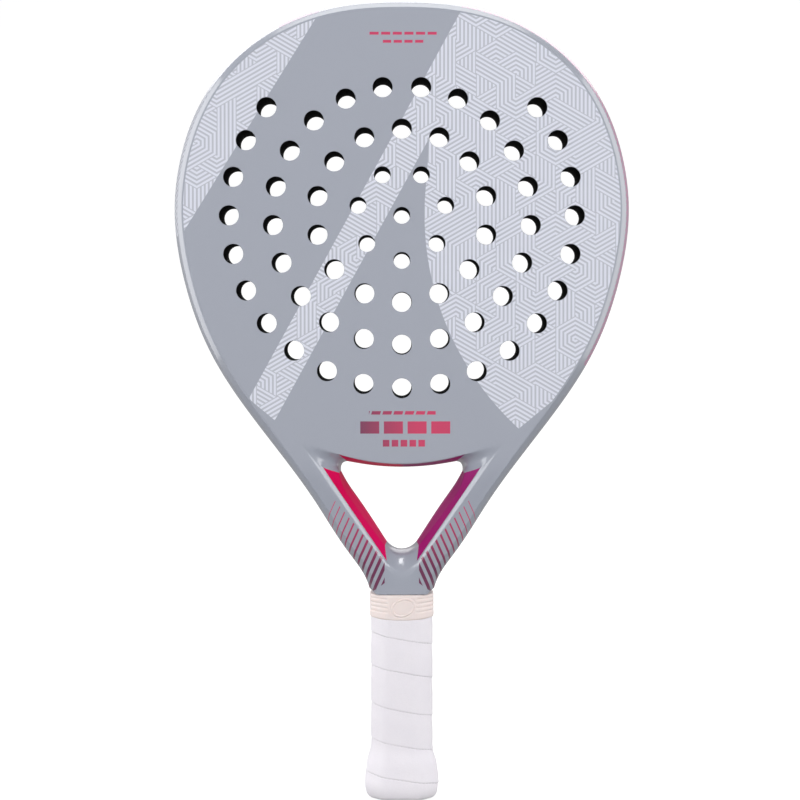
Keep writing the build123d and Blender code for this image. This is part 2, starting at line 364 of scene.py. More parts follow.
def inside(points, loops):
    """Which points lie inside an odd number of the loops."""
    odd = np.zeros(len(points), bool)
    x, z = points[:, 0][:, None], points[:, 1][:, None]
    for loop in loops:
        start = np.asarray(loop, float)
        end = np.roll(start, -1, axis=0)
        spans = (start[:, 1] > z) != (end[:, 1] > z)
        rise = np.where(end[:, 1] == start[:, 1], 1e-12, end[:, 1] - start[:, 1])
        hit = start[:, 0] + (z - start[:, 1]) * (end[:, 0] - start[:, 0]) / rise
        odd ^= (np.sum(spans & (x < hit), axis=1) % 2).astype(bool)
    return odd


def fill(loops, spacing=0.0):
    """Triangles between closed loops of (x, z), with a grid of inner points if spacing is given."""
    points = np.concatenate(loops)
    edges = []
    first = 0
    for loop in loops:
        count = len(loop)
        edges += [(first + i, first + (i + 1) % count) for i in range(count)]
        first += count
    if spacing:
        low, high = points.min(axis=0), points.max(axis=0)
        grid_x, grid_z = np.meshgrid(*[np.arange(a, b, spacing) for a, b in zip(low, high)])
        grid = np.column_stack([grid_x.ravel(), grid_z.ravel()])
        grid = grid[inside(grid, loops)]
        gap = np.linalg.norm(grid[:, None] - points[None], axis=2).min(axis=1)
        points = np.concatenate([points, grid[gap > spacing / 2]])
    found = delaunay_2d_cdt([Vector(p) for p in points], edges, [], 0, 1e-6)
    corners = np.array([(v.x, v.y) for v in found[0]])
    triangles = np.array([list(f) for f in found[2]])
    return corners, triangles[inside(corners[triangles].mean(axis=1), loops)]


# ---------------------------------------------------------------- moulded frame


def bezier(points, share):
    start, pull, end = np.array(points, float)
    share = share[:, None]
    return start * (1 - share) ** 2 + 2 * pull * share * (1 - share) + end * share**2


def throat_loop(zones):
    """The right half of one loop round the throat, as rows of (x, z, drop)."""
    pieces = []
    for zone, count in THROAT_STATIONS.items():
        share = np.linspace(0, 1, count + 1)
        if zone != "crotch":
            share = share[1:]
        if zone in ("crotch", "bridge"):
            pieces.append(bezier(zones[zone], share))
        else:
            curve = Curve(zones[zone])
            pieces.append(curve.at(share * curve.length))
    return np.concatenate(pieces)


def throat_softness():
    """How rounded the section is at each station: 0 is faceted and 1 is smooth."""
    crotch, arm = THROAT_STATIONS["crotch"], THROAT_STATIONS["arm"]
    corner, bridge = THROAT_STATIONS["corner"], THROAT_STATIONS["bridge"]
    station = np.arange(crotch + arm + corner + bridge + 1)
    arm_start, corner_start, bridge_start = crotch, crotch + arm, crotch + arm + corner
    soft = 1 - smooth((station - arm_start + 1) / 4)
    soft = np.maximum(soft, smooth((station - corner_start + 2) / 5))
    return np.where(station > bridge_start, 1 - smooth((station - bridge_start) / 4), soft)


def throat_rows():
    """The surface round the right half of the throat: one row of (x, y, z) points per station."""
    shoulder, ridge, crease, opening = [
        throat_loop(zones)
        for zones in (THROAT_SHOULDER, THROAT_RIDGE, THROAT_CREASE, THROAT_OPENING)
    ]
    loops = []
    for loop in (shoulder, ridge, crease):
        depth = half_depth(loop[:, 1]) - loop[:, 2]
        loops.append(np.column_stack([loop[:, 0], depth, loop[:, 1]]))
    outwards = crease[:, :2] - opening[:, :2]
    outwards /= np.linalg.norm(outwards, axis=1)[:, None]
    wall = opening[:, :2] + THROAT_WALL_FLARE * outwards
    loops.append(np.column_stack([wall[:, 0], np.full(len(wall), THROAT_WALL_DEPTH), wall[:, 1]]))
    loops.append(np.column_stack([opening[:, 0], np.zeros(len(opening)), opening[:, 1]]))
    loops = np.array(loops)

    before = 2 * loops[0] - loops[1]
    corner_start = THROAT_STATIONS["crotch"] + THROAT_STATIONS["arm"]
    before[corner_start:, 1] = loops[1][corner_start:, 1]
    after = loops[3] * [1, -1, 1]
    controls = np.concatenate([before[None], loops, after[None]])
    soft = throat_softness()[:, None]
    columns = [loops[0]]
    for k in range(4):
        a, b, c, d = controls[k : k + 4]
        for t in (0.05, 0.25, 0.5, 0.75, 0.95):
            if k == 0 and t < 0.1:
                continue
            straight = b + (c - b) * t
            curved = 0.5 * (
                2 * b + (c - a) * t + (2 * a - 5 * b + 4 * c - d) * t**2
                + (3 * b - a - 3 * c + d) * t**3
            )
            columns.append(straight + (curved - straight) * soft)
    columns.append(loops[4])
    return np.array(columns).transpose(1, 0, 2) * [1, -1, 1]


def frame_legs(body):
    """The two legs that run down inside the handle."""
    ring = octagon_ring(LEG_HALF_WIDTH, 1.0)
    for side in (-1, 1):
        section = [(max(side * x, LEG_GAP / 2) * side, y) for x, y in ring]
        rows = [[(x, y, z) for x, y in section] for z in (LEG_BOTTOM, NECK_BOTTOM + 1)]
        ids = body.grid(rows, closed=True)
        for row in ids:
            body.face(row)


def moulded_frame(paint, accent):
    """Hoop, arms, bridge and neck as one closed mesh. Material 1 is the accent colour."""
    body = Builder()
    rows = []
    for (arm_inset, arm_depth), (hoop_inset, hoop_depth) in zip(ARM_EDGE, HOOP_EDGE):
        points = rail(arm_inset, hoop_inset)
        share = edge_share(points[:, 1])
        depth = arm_depth + (hoop_depth - arm_depth) * share
        depth = depth * half_depth(points[:, 1]) / HALF_THICKNESS
        rows.append(np.column_stack([points[:, 0], -depth, points[:, 1]]))
    body.grid(rows)

    face_rail = rows[-1][:, [0, 2]]
    right = face_rail[: ARM_STATIONS + 1]
    left = face_rail[ARM_STATIONS + HOOP_STATIONS :]
    top = plate_edge(right[-1][0], left[0][0])
    bottom_x = np.linspace(left[-1][0], right[0][0], 10)[1:-1]
    bottom = np.column_stack([bottom_x, np.full(len(bottom_x), NECK_BOTTOM)])
    arms = np.concatenate([right, top, left, bottom])

    throat = throat_rows()
    shoulder = throat[:, 0][:, [0, 2]]
    shoulder = np.concatenate([shoulder, shoulder[-2:0:-1] * [-1, 1]])
    body.flat([arms, shoulder], lambda z: -half_depth(z), spacing=4.0)

    arm_start = THROAT_STATIONS["crotch"]
    corner_start = arm_start + THROAT_STATIONS["arm"]
    bridge_start = corner_start + THROAT_STATIONS["corner"]
    for side in (1, -1):
        ids = [body.add(row * [side, 1, 1]) for row in throat]
        for station, (low, high) in enumerate(zip(ids, ids[1:])):
            coloured = arm_start <= station < corner_start or station >= bridge_start
            for i in range(len(low) - 1):
                material = 1 if coloured and i >= 5 else 0
                body.face((low[i], low[i + 1], high[i + 1], high[i]), material)

    hoop = face_rail[ARM_STATIONS : ARM_STATIONS + HOOP_STATIONS + 1]
    seat = hoop_loop(hoop)
    window = core_outline()
    inner = -(HALF_THICKNESS - PLATE_THICKNESS)
    body.wall(seat, -HALF_THICKNESS, inner)
    body.flat([seat, window], inner)
    body.wall(window, inner, 0)
    body.mirror_back()

    for i, (x, y, z) in enumerate(body.vertices):
        cut = NECK_CORNER * (1 - min(1, (z - NECK_BOTTOM) / NECK_CORNER))
        if abs(x) > 15:
            body.vertices[i] = (x - math.copysign(min(cut, abs(x) - 15), x), y, z)
    frame_legs(body)
    made = body.build("moulded_frame", [paint, accent], sharp=24, close=True)
    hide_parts("frame_tube", "throat_bridge", "neck_wrap", "frame_bladder")


# ---------------------------------------------------------------- plates and core


def core_outline():
    """The window in the frame that the foam core fills."""
    s = np.linspace(CORE_CORNER, OUTLINE_CURVE.length - CORE_CORNER, 181)
    return hoop_loop(inset_outline(s, CORE_INSET, CORE_INSET), CORE_RISE)


def plate_outline():
    points = rail(FACE_ARM_INSET, FACE_HOOP_INSET)
    return hoop_loop(points[ARM_STATIONS : ARM_STATIONS + HOOP_STATIONS + 1])


def hole_places():
    """(x, height, radius) of every drilled hole."""
    places = [(0.0, HOLE_CENTRE, SMALL_HOLE_RADIUS)]
    for ring, ring_radius in enumerate(RING_RADII, start=1):
        count = HOLES_ADDED_PER_RING * ring
        steps = range(count)
        if ring == len(RING_RADII):
            steps = range(-OUTER_RING_REACH, OUTER_RING_REACH + 1)
        radius = SMALL_HOLE_RADIUS if ring == 1 else LARGE_HOLE_RADIUS
        for step in steps:
            angle = 2 * math.pi * step / count
            x = ring_radius * math.sin(angle)
            places.append((x, HOLE_CENTRE - ring_radius * math.cos(angle), radius))
    return places


def circle(x, z, radius):
    turn = np.linspace(0, 2 * math.pi, HOLE_STEPS, endpoint=False)
    return np.column_stack([x + radius * np.cos(turn), z + radius * np.sin(turn)])


def drilled_plate(name, outline, outer, inner, chamfer, materials):
    """A flat plate from depth outer to depth inner, drilled, with its edges chamfered outside."""
    body = Builder()
    places = hole_places()
    inwards = math.copysign(chamfer, inner - outer)
    wide = [circle(x, z, radius + chamfer) for x, z, radius in places]
    tight = [circle(x, z, radius) for x, z, radius in places]
    body.flat([outline, *wide], outer)
    body.flat([outline, *tight], inner)
    body.wall(outline, outer, inner)
    for wide_loop, tight_loop in zip(wide, tight):
        if chamfer:
            rows = [
                [(x, outer, z) for x, z in wide_loop],
                [(x, outer + inwards, z) for x, z in tight_loop],
            ]
            body.grid(rows, closed=True)
        body.wall(tight_loop, outer + inwards, inner, material=len(materials) - 1)
    return body.build(name, materials)


def face_plates(paint, laminate):
    inner = HALF_THICKNESS - PLATE_THICKNESS
    plates = (("front_face", "front_face_skin", -1), ("rear_face", "rear_face_skin", 1))
    for name, node, side in plates:
        outer_depth, inner_depth = side * HALF_THICKNESS, side * inner
        made = drilled_plate(
            name, plate_outline(), outer_depth, inner_depth, HOLE_CHAMFER, [paint, laminate]
        )
        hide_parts(node)


def foam_core(foam):
    inner = HALF_THICKNESS - PLATE_THICKNESS
    made = drilled_plate("foam_core", core_outline(), -inner, inner, 0.0, [foam])
    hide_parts("eva_core")


# ---------------------------------------------------------------- handle


def octagon_ring(half_width, corner):
    """Points round an octagonal section with rounded corners, starting at the front's middle."""
    half_depth_here = half_width - WIDER_THAN_DEEP
    quarter = [
        (OCTAGON_KEEP * half_width, -half_depth_here),
        (half_width, -OCTAGON_KEEP * half_depth_here),
    ]
    right = quarter + [(x, -y) for x, y in reversed(quarter)]
    corners = np.array(right + [(-x, y) for x, y in reversed(right)])
    points = []
    count = len(corners)
    for i in range(count):
        before, here, after = corners[i - 1], corners[i], corners[(i + 1) % count]
        into = (before - here) / np.linalg.norm(before - here)
        out = (after - here) / np.linalg.norm(after - here)
        middle_before = (before + here) / 2
        start, end = here + into * corner, here + out * corner
        points += [middle_before + (start - middle_before) * t for t in (0, 0.25, 0.5, 0.75)]
        for t in np.linspace(0, 1, 6):
            points.append(start * (1 - t) ** 2 + 2 * here * t * (1 - t) + end * t**2)
        middle_after = (after + here) / 2
        points += [end + (middle_after - end) * t for t in (0.25, 0.5, 0.75)]
    return np.array(points)


def finer(ring, parts):
    """The ring with each of its sides split into equal parts."""
    ahead = np.roll(ring, -1, axis=0)
    steps = [ring + (ahead - ring) * (part / parts) for part in range(parts)]
    return np.stack(steps, axis=1).reshape(-1, 2)


def around(ring):
    """How far round each point of a ring is, from -0.5 to 0.5, with 0 at the front's middle."""
    steps = np.linalg.norm(np.roll(ring, -1, axis=0) - ring, axis=1)
    share = np.concatenate([[0], np.cumsum(steps)[:-1]]) / steps.sum()
    return np.where(share > 0.5, share - 1, share)


def pushed_out(ring, amount):
    """A ring with each point moved outwards by its own amount."""
    along = np.roll(ring, -1, axis=0) - np.roll(ring, 1, axis=0)
    out = np.column_stack([along[:, 1], -along[:, 0]])
    out /= np.linalg.norm(out, axis=1)[:, None]
    return ring + out * np.asarray(amount)[:, None]


def wrap_relief(z, turn):
    """Height of the overlapped wrap above the handle, at height z and share of a turn."""
    wound = np.interp(z, WRAP_SEAMS[::-1], np.arange(len(WRAP_SEAMS))[::-1])
    share = (wound - turn) % 1.0
    edge = np.clip((share - 1 + WRAP_EDGE) / WRAP_EDGE, 0, 1)
    swell = WRAP_RELIEF * smooth(share / 0.45) * np.sqrt(1 - edge**2)
    groove = 0.18 * np.exp(-((share / 0.018) ** 2))
    return swell - groove


def grip_wrap(material):
    """The cushioned wrap, wound up the handle with one edge over the last turn."""
    body = Builder()
    heights, widths = np.array(GRIP_PROFILE).T
    profile = Curve(GRIP_PROFILE)
    trail = profile.at(np.linspace(0, profile.length, 800))
    rows = []
    count = int((heights[-1] - heights[0]) / WRAP_ROW)
    for z in np.linspace(heights[0], heights[-1], count):
        half_width = np.interp(z, trail[:, 0], trail[:, 1])
        ring = finer(octagon_ring(half_width, GRIP_CORNER), WRAP_SPLIT)
        near_end = smooth((z - heights[0]) / 3) * smooth((heights[-1] - z) / 2)
        ring = pushed_out(ring, wrap_relief(z, around(ring)) * near_end)
        rows.append([(x, y, z) for x, y in ring])
    inner_low = finer(octagon_ring(SHELL_HALF_WIDTH - 1, GRIP_CORNER), WRAP_SPLIT)
    inner_high = finer(octagon_ring(SHELL_HALF_WIDTH, GRIP_CORNER), WRAP_SPLIT)
    rows.insert(0, [(x, y, heights[0]) for x, y in inner_low])
    rows.append([(x, y, heights[-1]) for x, y in inner_high])
    rows.append(rows[0])
    body.grid(rows, closed=True)
    made = body.build("grip_wrap_padded", [material], sharp=60)
    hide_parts("grip_wrap")


def collar_relief(ring, z):
    """Ribs on the collar's sides and a plain raised oval at the middle of front and back."""
    x = ring[:, 0]
    side = smooth((np.abs(x) - 7.5) / 1.5)
    grooves = sum(np.exp(-(((z - rib) / 0.55) ** 2)) for rib in COLLAR_RIBS)
    across, up = x - COLLAR_OVAL[0], z - COLLAR_OVAL[1]
    cosine, sine = COLLAR_OVAL_TURN
    turned_x, turned_z = across * cosine + up * sine, up * cosine - across * sine
    half_x, half_z = COLLAR_OVAL_HALF_SIZE
    reach = np.sqrt((turned_x / half_x) ** 2 + (turned_z / half_z) ** 2)
    oval = np.exp(-(((reach - 1) / 0.07) ** 2)) + 0.3 * smooth((1 - reach) / 0.1)
    groove_round = np.exp(-(((reach - 1.16) / 0.06) ** 2)) + np.exp(-(((reach - 0.86) / 0.05) ** 2))
    return (0.36 * oval - 0.16 * groove_round) * (1 - side) - 0.3 * grooves * side


def rubber_collar(material):
    """The rubber sleeve over the top of the grip."""
    body = Builder()
    rows = []
    for z in np.linspace(COLLAR_BOTTOM, COLLAR_TOP, 70):
        end = min(z - COLLAR_BOTTOM, COLLAR_TOP - z)
        rounding = 0.7 * (1 - math.sqrt(1 - (1 - min(end / COLLAR_ROUNDING_REACH, 1)) ** 2))
        ring = finer(octagon_ring(COLLAR_HALF_WIDTH - rounding, COLLAR_CORNER), COLLAR_SPLIT)
        ring = pushed_out(ring, collar_relief(ring, z) * smooth(end / 1.5))
        share_down = (COLLAR_TOP - z) / (COLLAR_TOP - COLLAR_BOTTOM)
        rise = COLLAR_EDGE_RISE * share_down * (ring[:, 0] / COLLAR_HALF_WIDTH) ** 2
        rows.append([(x, y, z + up) for (x, y), up in zip(ring, rise)])
    inner = finer(octagon_ring(SHELL_HALF_WIDTH, 3.0), COLLAR_SPLIT)
    rows.insert(0, [(x, y, COLLAR_BOTTOM) for x, y in inner])
    rows.append([(x, y, COLLAR_TOP) for x, y in inner])
    rows.append(rows[0])
    body.grid(rows, closed=True)
    made = body.build("rubber_collar_ribbed", [material], sharp=60)
    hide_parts("rubber_collar")


def finishing_tape(material):
    """The thin tape that ends the wrap, under the collar."""
    body = Builder()
    outer = octagon_ring(TAPE_HALF_WIDTH, COLLAR_CORNER)
    inner = octagon_ring(TAPE_HALF_WIDTH - 0.2, COLLAR_CORNER)
    turns = [(outer, TAPE_BOTTOM), (outer, TAPE_TOP), (inner, TAPE_TOP), (inner, TAPE_BOTTOM)]
    rows = [[(x, y, z) for x, y in ring] for ring, z in turns]
    body.grid([*rows, rows[0]], closed=True)
    made = body.build("finishing_tape_band", [material])
    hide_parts("finishing_tape")


def bridge_filler(foam):
    """The foam inside the bridge: a curved block under the face plates."""
    body = Builder()
    x = np.linspace(-FILLER_REACH, FILLER_REACH, 31)
    low = FILLER_LOW + FILLER_ARCH * (x / FILLER_REACH) ** 2
    high = plate_edge_height(x, CORE_RISE) - FILLER_GAP
    loop = np.concatenate([np.column_stack([x, low]), np.column_stack([x, high])[::-1]])
    body.flat([loop], -FILLER_HALF_DEPTH)
    body.flat([loop], FILLER_HALF_DEPTH)
    body.wall(loop, -FILLER_HALF_DEPTH, FILLER_HALF_DEPTH)
    made = body.build("bridge_foam_block", [foam])
    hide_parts("bridge_foam")


# ---------------------------------------------------------------- materials


def linear(red, green, blue, gain=1.0):
    """An sRGB colour from 0-255 values, as linear RGBA."""
    made = []
    for value in (red, green, blue):
        share = value / 255
        low = share / 12.92
        high = ((share + 0.055) / 1.055) ** 2.4
        made.append((low if share <= 0.04045 else high) * gain)
    return (*made, 1.0)


class Field:
    """A number that varies over a surface, built from math nodes."""

    def __init__(self, graph, socket):
        self.graph = graph
        self.socket = socket

    def __add__(self, other):
        return self.graph.math("ADD", self, other)

    def __sub__(self, other):
        return self.graph.math("SUBTRACT", self, other)

    def __mul__(self, other):
        return self.graph.math("MULTIPLY", self, other)

    def __truediv__(self, other):
        return self.graph.math("DIVIDE", self, other)

    def __rsub__(self, other):
        return self.graph.math("SUBTRACT", other, self)

    def __abs__(self):
        return self.graph.math("ABSOLUTE", self)

    __radd__ = __add__
    __rmul__ = __mul__

    def floor(self):
        return self.graph.math("FLOOR", self)

    def fract(self):
        return self.graph.math("FRACT", self)

    def over(self, limit=0.0, soft=0.1):
        """1 where the field is over the limit and 0 where it is under, with a soft step."""
        return self.graph.math("ADD", (self - limit) / soft, 0.5, clamp=True)


class Graph:
    """A material's node tree, with its position in millimetres as x, y and z."""

    def __init__(self, name, **values):
        self.material = bpy.data.materials.new(name)
        self.material.use_nodes = True
        self.tree = self.material.node_tree
        self.shader = self.tree.nodes["Principled BSDF"]
        for key, value in values.items():
            self.shader.inputs[key.replace("_", " ")].default_value = value
        coordinates = self.node("ShaderNodeTexCoord")
        scale = self.node("ShaderNodeVectorMath", operation="SCALE")
        scale.inputs["Scale"].default_value = 1 / MM
        self.tree.links.new(coordinates.outputs["Object"], scale.inputs[0])
        self.place = scale.outputs[0]
        parts = self.node("ShaderNodeSeparateXYZ")
        self.tree.links.new(self.place, parts.inputs[0])
        self.x, self.y, self.z = [Field(self, socket) for socket in parts.outputs]

    def node(self, kind, **settings):
        made = self.tree.nodes.new(kind)
        for key, value in settings.items():
            setattr(made, key, value)
        return made

    def plug(self, value, socket):
        if isinstance(value, Field):
            self.tree.links.new(value.socket, socket)
        elif isinstance(value, bpy.types.NodeSocket):
            self.tree.links.new(value, socket)
        else:
            socket.default_value = value

    def math(self, operation, *values, clamp=False):
        made = self.node("ShaderNodeMath", operation=operation, use_clamp=clamp)
        for value, socket in zip(values, made.inputs):
            self.plug(value, socket)
        return Field(self, made.outputs[0])

    def least(self, a, b):
        return self.math("MINIMUM", a, b)

    def most(self, a, b):
        return self.math("MAXIMUM", a, b)

    def vector(self, x, y, z):
        made = self.node("ShaderNodeCombineXYZ")
        for value, socket in zip((x, y, z), made.inputs):
            self.plug(value, socket)
        return made.outputs[0]

    def noise(self, scale, detail=2.0):
        made = self.node("ShaderNodeTexNoise")
        made.inputs["Scale"].default_value = scale
        made.inputs["Detail"].default_value = detail
        self.tree.links.new(self.place, made.inputs["Vector"])
        return Field(self, made.outputs[0])

    def cells(self, scale):
        """Distance to the nearest of many scattered points."""
        made = self.node("ShaderNodeTexVoronoi")
        made.inputs["Scale"].default_value = scale
        self.tree.links.new(self.place, made.inputs["Vector"])
        return Field(self, made.outputs["Distance"])

    def chance(self, vector):
        """A random number from 0 to 1 that is the same wherever the vector is."""
        made = self.node("ShaderNodeTexWhiteNoise", noise_dimensions="3D")
        self.tree.links.new(vector, made.inputs["Vector"])
        return Field(self, made.outputs["Value"])

    def mix(self, share, a, b):
        """Colour a where share is 0 and colour b where it is 1."""
        made = self.node("ShaderNodeMix", data_type="RGBA")
        self.plug(share, made.inputs["Factor"])
        self.plug(a, made.inputs[6])
        self.plug(b, made.inputs[7])
        return made.outputs[2]

    def set(self, name, value):
        self.plug(value, self.shader.inputs[name])

    def bump(self, height, distance):
        made = self.node("ShaderNodeBump")
        made.inputs["Strength"].default_value = 1.0
        made.inputs["Distance"].default_value = distance * MM
        self.plug(height, made.inputs["Height"])
        self.tree.links.new(made.outputs[0], self.shader.inputs["Normal"])

    def beyond(self, x, z, start, end):
        """Distance in millimetres to the left of the way from start to end, as (x, z) points."""
        run, rise = end[0] - start[0], end[1] - start[1]
        length = math.hypot(run, rise)
        return (z - start[1]) * (run / length) - (x - start[0]) * (rise / length)


# Colours in 0-255 values
PAINT_GAIN = 0.9
GREY = linear(163, 168, 182, PAINT_GAIN)
PATTERN_LIGHT = linear(232, 235, 248, PAINT_GAIN)
PATTERN_DARK = linear(191, 194, 207, PAINT_GAIN)
HOT_PINK = linear(200, 10, 84)
DARK_MAGENTA = linear(100, 2, 68)

# Face pattern: stripes in a lattice of triangles, each running one of three ways at random
TRIANGLE_SIDE = 12.9
LATTICE_POINT = (41.5, 437.3)
STRIPES_PER_TRIANGLE = 5
STRIPE_SHARE = 0.23

# Arm stripes, counted downwards along x + 0.45 z: where the first one is, their step and number.
# A step in that sum is longer than the distance across the stripes by the run.
ARM_STRIPE_FIRST = 114.8
ARM_STRIPE_STEP = 4.04
ARM_STRIPE_RUN = 1.097
ARM_STRIPES = 13
# They stay this far from the middle, and above a slope that meets the middle at this height
ARM_STRIPE_INNER = 9.7
ARM_STRIPE_FOOT = 132.4

# Rim hatch: the height that its angles are taken from, and its reach from the middle plane
RIM_MIDDLE = 332.0
RIM_HATCH_REACH = 14.25


def triangle_stripes(g, x, z):
    """1 on the light stripes of the lattice pattern and 0 between them."""
    height = TRIANGLE_SIDE * math.sqrt(3) / 2
    across, up = (x - LATTICE_POINT[0]) / height, (z - LATTICE_POINT[1]) / height
    ways = [across, up * (math.sqrt(3) / 2) - across * 0.5, across * -0.5 - up * (math.sqrt(3) / 2)]
    cells = [way.floor() for way in ways]
    pick = g.chance(g.vector(*cells)) * 3
    first, last = 1 - pick.over(1, 0.001), pick.over(2, 0.001)
    middle = 1 - first - last
    shares = [way - cell for way, cell in zip(ways, cells)]
    share = shares[0] * first + shares[1] * middle + shares[2] * last
    wave = abs((share * STRIPES_PER_TRIANGLE + 0.5).fract() - 0.5)
    return wave.over(STRIPE_SHARE, 0.09)


def pattern_zone(g, x, z):
    """1 where the face carries the pattern."""
    top_left = g.beyond(x, z, (-122.0, 323.9), (-48.1, 442.7)).over()
    band = g.beyond(x, z, (32.9, 446.4), (-85.9, 229.7)).over()
    before_wedge = g.beyond(x, z, (-71.7, 216.8), (15.3, 375.5)).over()
    from_centre = g.math("SQRT", (x - 175.7) * (x - 175.7) + (z - 333) * (z - 333))
    round_part = (163 - from_centre).over()
    straight_part = g.least((x - 12.7 - (z - 333) * 0.061).over(), (z - 333).over())
    after_wedge = g.most(round_part, straight_part)
    zone = g.most(top_left, band * g.most(before_wedge, after_wedge))
    low_end = (z - 231.1 + (87.9 - abs(x)) * 0.83).over()
    return zone * low_end


def arm_stripes(g, x, z, drop):
    """Slanting stripes on the arms, thin at the top and thick at the bottom."""
    wide = abs(x)
    place = (ARM_STRIPE_FIRST - (wide + z * 0.45 + drop * 0.15)) / ARM_STRIPE_STEP
    index = (place + 0.5).floor()
    offset = abs(place - index) * (ARM_STRIPE_STEP / ARM_STRIPE_RUN)
    half_thickness = 0.2 + index * 0.07
    stripe = (half_thickness - offset).over(0, 0.12)
    rows = index.over(-0.5, 0.01) * (ARM_STRIPES - 0.5 - index).over(0, 0.01)
    outside = (wide - 37.4 - (z - 171.9) * 0.8125).over() * (wide - ARM_STRIPE_INNER).over()
    above = (z + wide * 0.75 - ARM_STRIPE_FOOT).over()
    return stripe * rows * outside * above


def dashes(g, x, z, low, high, left, right, period, gap, slant=0.0):
    """A row of plain dashes between two heights."""
    row = (z - low).over() * (high - z).over()
    reach = (x - left).over() * (right - x).over()
    share = ((x - left - (z - low) * slant) / period).fract()
    dash = share.over(gap / period, 0.02) if gap else 1.0
    return row * reach * dash


def marks(g, x, z):
    """Plain bars where a maker would put a name."""
    upper = dashes(g, x, z, 433.4, 435.0, -19.5, 19.5, 6.5, 1.4)
    upper = g.most(upper, dashes(g, x, z, 428.9, 430.5, -12.0, 12.0, 6.0, 1.4))
    block = dashes(g, x, z, 220.6, 222.6, -18.5, 19.0, 6.25, 1.2, 0.3)
    block = g.most(block, dashes(g, x, z, 209.9, 216.8, -26.0, 27.2, 13.3, 2.6))
    block = g.most(block, dashes(g, x, z, 202.6, 206.4, -12.0, 13.0, 5.0, 1.3))
    return upper, block


def rim_stripes(g, x, y, z):
    """Slanting stripes on the outer side of the hoop, and how far round they are in degrees."""
    turn = g.math("ARCTAN2", x, z - RIM_MIDDLE) * (180 / math.pi)
    stripes = abs(((turn * 2.2 + y * 0.75) / 3.2).fract() - 0.5).over(0.2, 0.06)
    return stripes, turn


def paint_material():
    """Grey satin paint with all the printed graphics."""
    g = Graph("satin_paint", Roughness=0.4, Coat_Weight=1.0, Coat_Roughness=0.12)
    depth = abs(g.y)
    front = g.y.over(0, 0.01)
    x = g.x * (1 - front * 2)
    face = depth.over(HALF_THICKNESS - 0.06, 0.05) * g.z.over(200, 0.1)
    cloud = g.noise(0.02, 3) * 0.05 + g.noise(1.6, 2) * 0.05
    grey = g.mix(cloud, GREY, linear(190, 194, 204, PAINT_GAIN))

    printed = g.mix(triangle_stripes(g, x, g.z), PATTERN_DARK, PATTERN_LIGHT)
    colour = g.mix(face * pattern_zone(g, x, g.z), grey, printed)

    upper, block = marks(g, x, g.z)
    colour = g.mix(face * upper, colour, HOT_PINK)
    block_colour = g.mix(((x + 26) / 34).over(0.5, 1.0), DARK_MAGENTA, HOT_PINK)
    colour = g.mix(face * block, colour, block_colour)

    drop = half_depth_field(g) - depth
    stripe_colour = g.mix(((168 - g.z) / 34).over(0.5, 1.0), linear(205, 50, 105), DARK_MAGENTA)
    colour = g.mix(arm_stripes(g, g.x, g.z, drop), colour, stripe_colour)

    stripes, turn = rim_stripes(g, g.x, g.y, g.z)
    on_side = (RIM_HATCH_REACH - depth).over(0, 0.2) * g.z.over(205, 0.5)
    right = turn.over(16, 0.2) * (129 - turn).over(0, 0.2)
    left = (-22 - turn).over(0, 0.2) * turn.over(-33, 0.2)
    colour = g.mix(on_side * stripes * right, colour, linear(205, 110, 160))
    colour = g.mix(on_side * stripes * left, colour, linear(165, 90, 150))
    pale = turn.over(-95, 0.2) * (-33 - turn).over(0, 0.2)
    colour = g.mix(on_side * stripes * pale, colour, PATTERN_LIGHT)
    g.set("Base Color", colour)
    g.bump(g.noise(0.9, 3) * 0.6 + g.noise(4.0, 2) * 0.25, 0.02)
    return g.material


def half_depth_field(g):
    """The face's distance from the middle plane, as a field."""
    rise = g.math("ADD", (g.z - THINNING_START) / THINNING_REACH, 0.0, clamp=True)
    rise = rise * rise * (3 - rise * 2)
    return rise * (HALF_THICKNESS - NECK_HALF_THICKNESS) + NECK_HALF_THICKNESS


def accent_material():
    """Pink paint on the left of the throat and purple on the right, seen from the front."""
    g = Graph("accent_paint", Roughness=0.45, Specular_IOR_Level=0.08)
    front = g.y.over(0, 0.01)
    x = g.x * (1 - front * 2)
    lighter = ((g.z - 140) / 50).over(0.5, 1.0)
    pink = g.mix(lighter, linear(222, 12, 98), linear(220, 4, 84))
    purple = g.mix(lighter, linear(160, 26, 112), linear(156, 42, 116))
    speckle = g.noise(2.5, 3) * 0.03
    colour = g.mix(x.over(0, 3.0), pink, purple)
    g.set("Base Color", g.mix(speckle, colour, linear(236, 60, 130)))
    g.bump(g.noise(0.9, 3), 0.015)
    return g.material


def foam_material(name, colour, lighter, cell_size):
    """Closed-cell foam."""
    g = Graph(name, Roughness=0.9, Specular_IOR_Level=0.1)
    cells = g.cells(1 / cell_size)
    g.set("Base Color", g.mix(cells * 0.6, lighter, colour))
    g.bump(cells, 0.25 * cell_size)
    return g.material


def laminate_material():
    """Cut edge of the carbon and glass laminate: dark layers."""
    g = Graph("cut_laminate", Roughness=0.55)
    layers = (abs(g.y) * 5).fract()
    g.set("Base Color", g.mix(layers * 0.5, linear(8, 8, 9), linear(22, 22, 24)))
    g.bump(layers * 0.5 + g.noise(3.0) * 0.5, 0.03)
    return g.material


def grip_material():
    """White polyurethane wrap with a fine grain."""
    g = Graph("white_grip", Roughness=0.62, Sheen_Weight=0.15, Specular_IOR_Level=0.4)
    grain = g.cells(1.5)
    cloud = g.noise(0.06, 3)
    tone = g.mix(cloud, linear(238, 234, 242), linear(246, 242, 247))
    g.set("Base Color", g.mix(grain * 0.12, tone, linear(214, 209, 216)))
    g.bump(grain * 0.5 + g.noise(0.5, 3) * 0.8, 0.07)
    return g.material


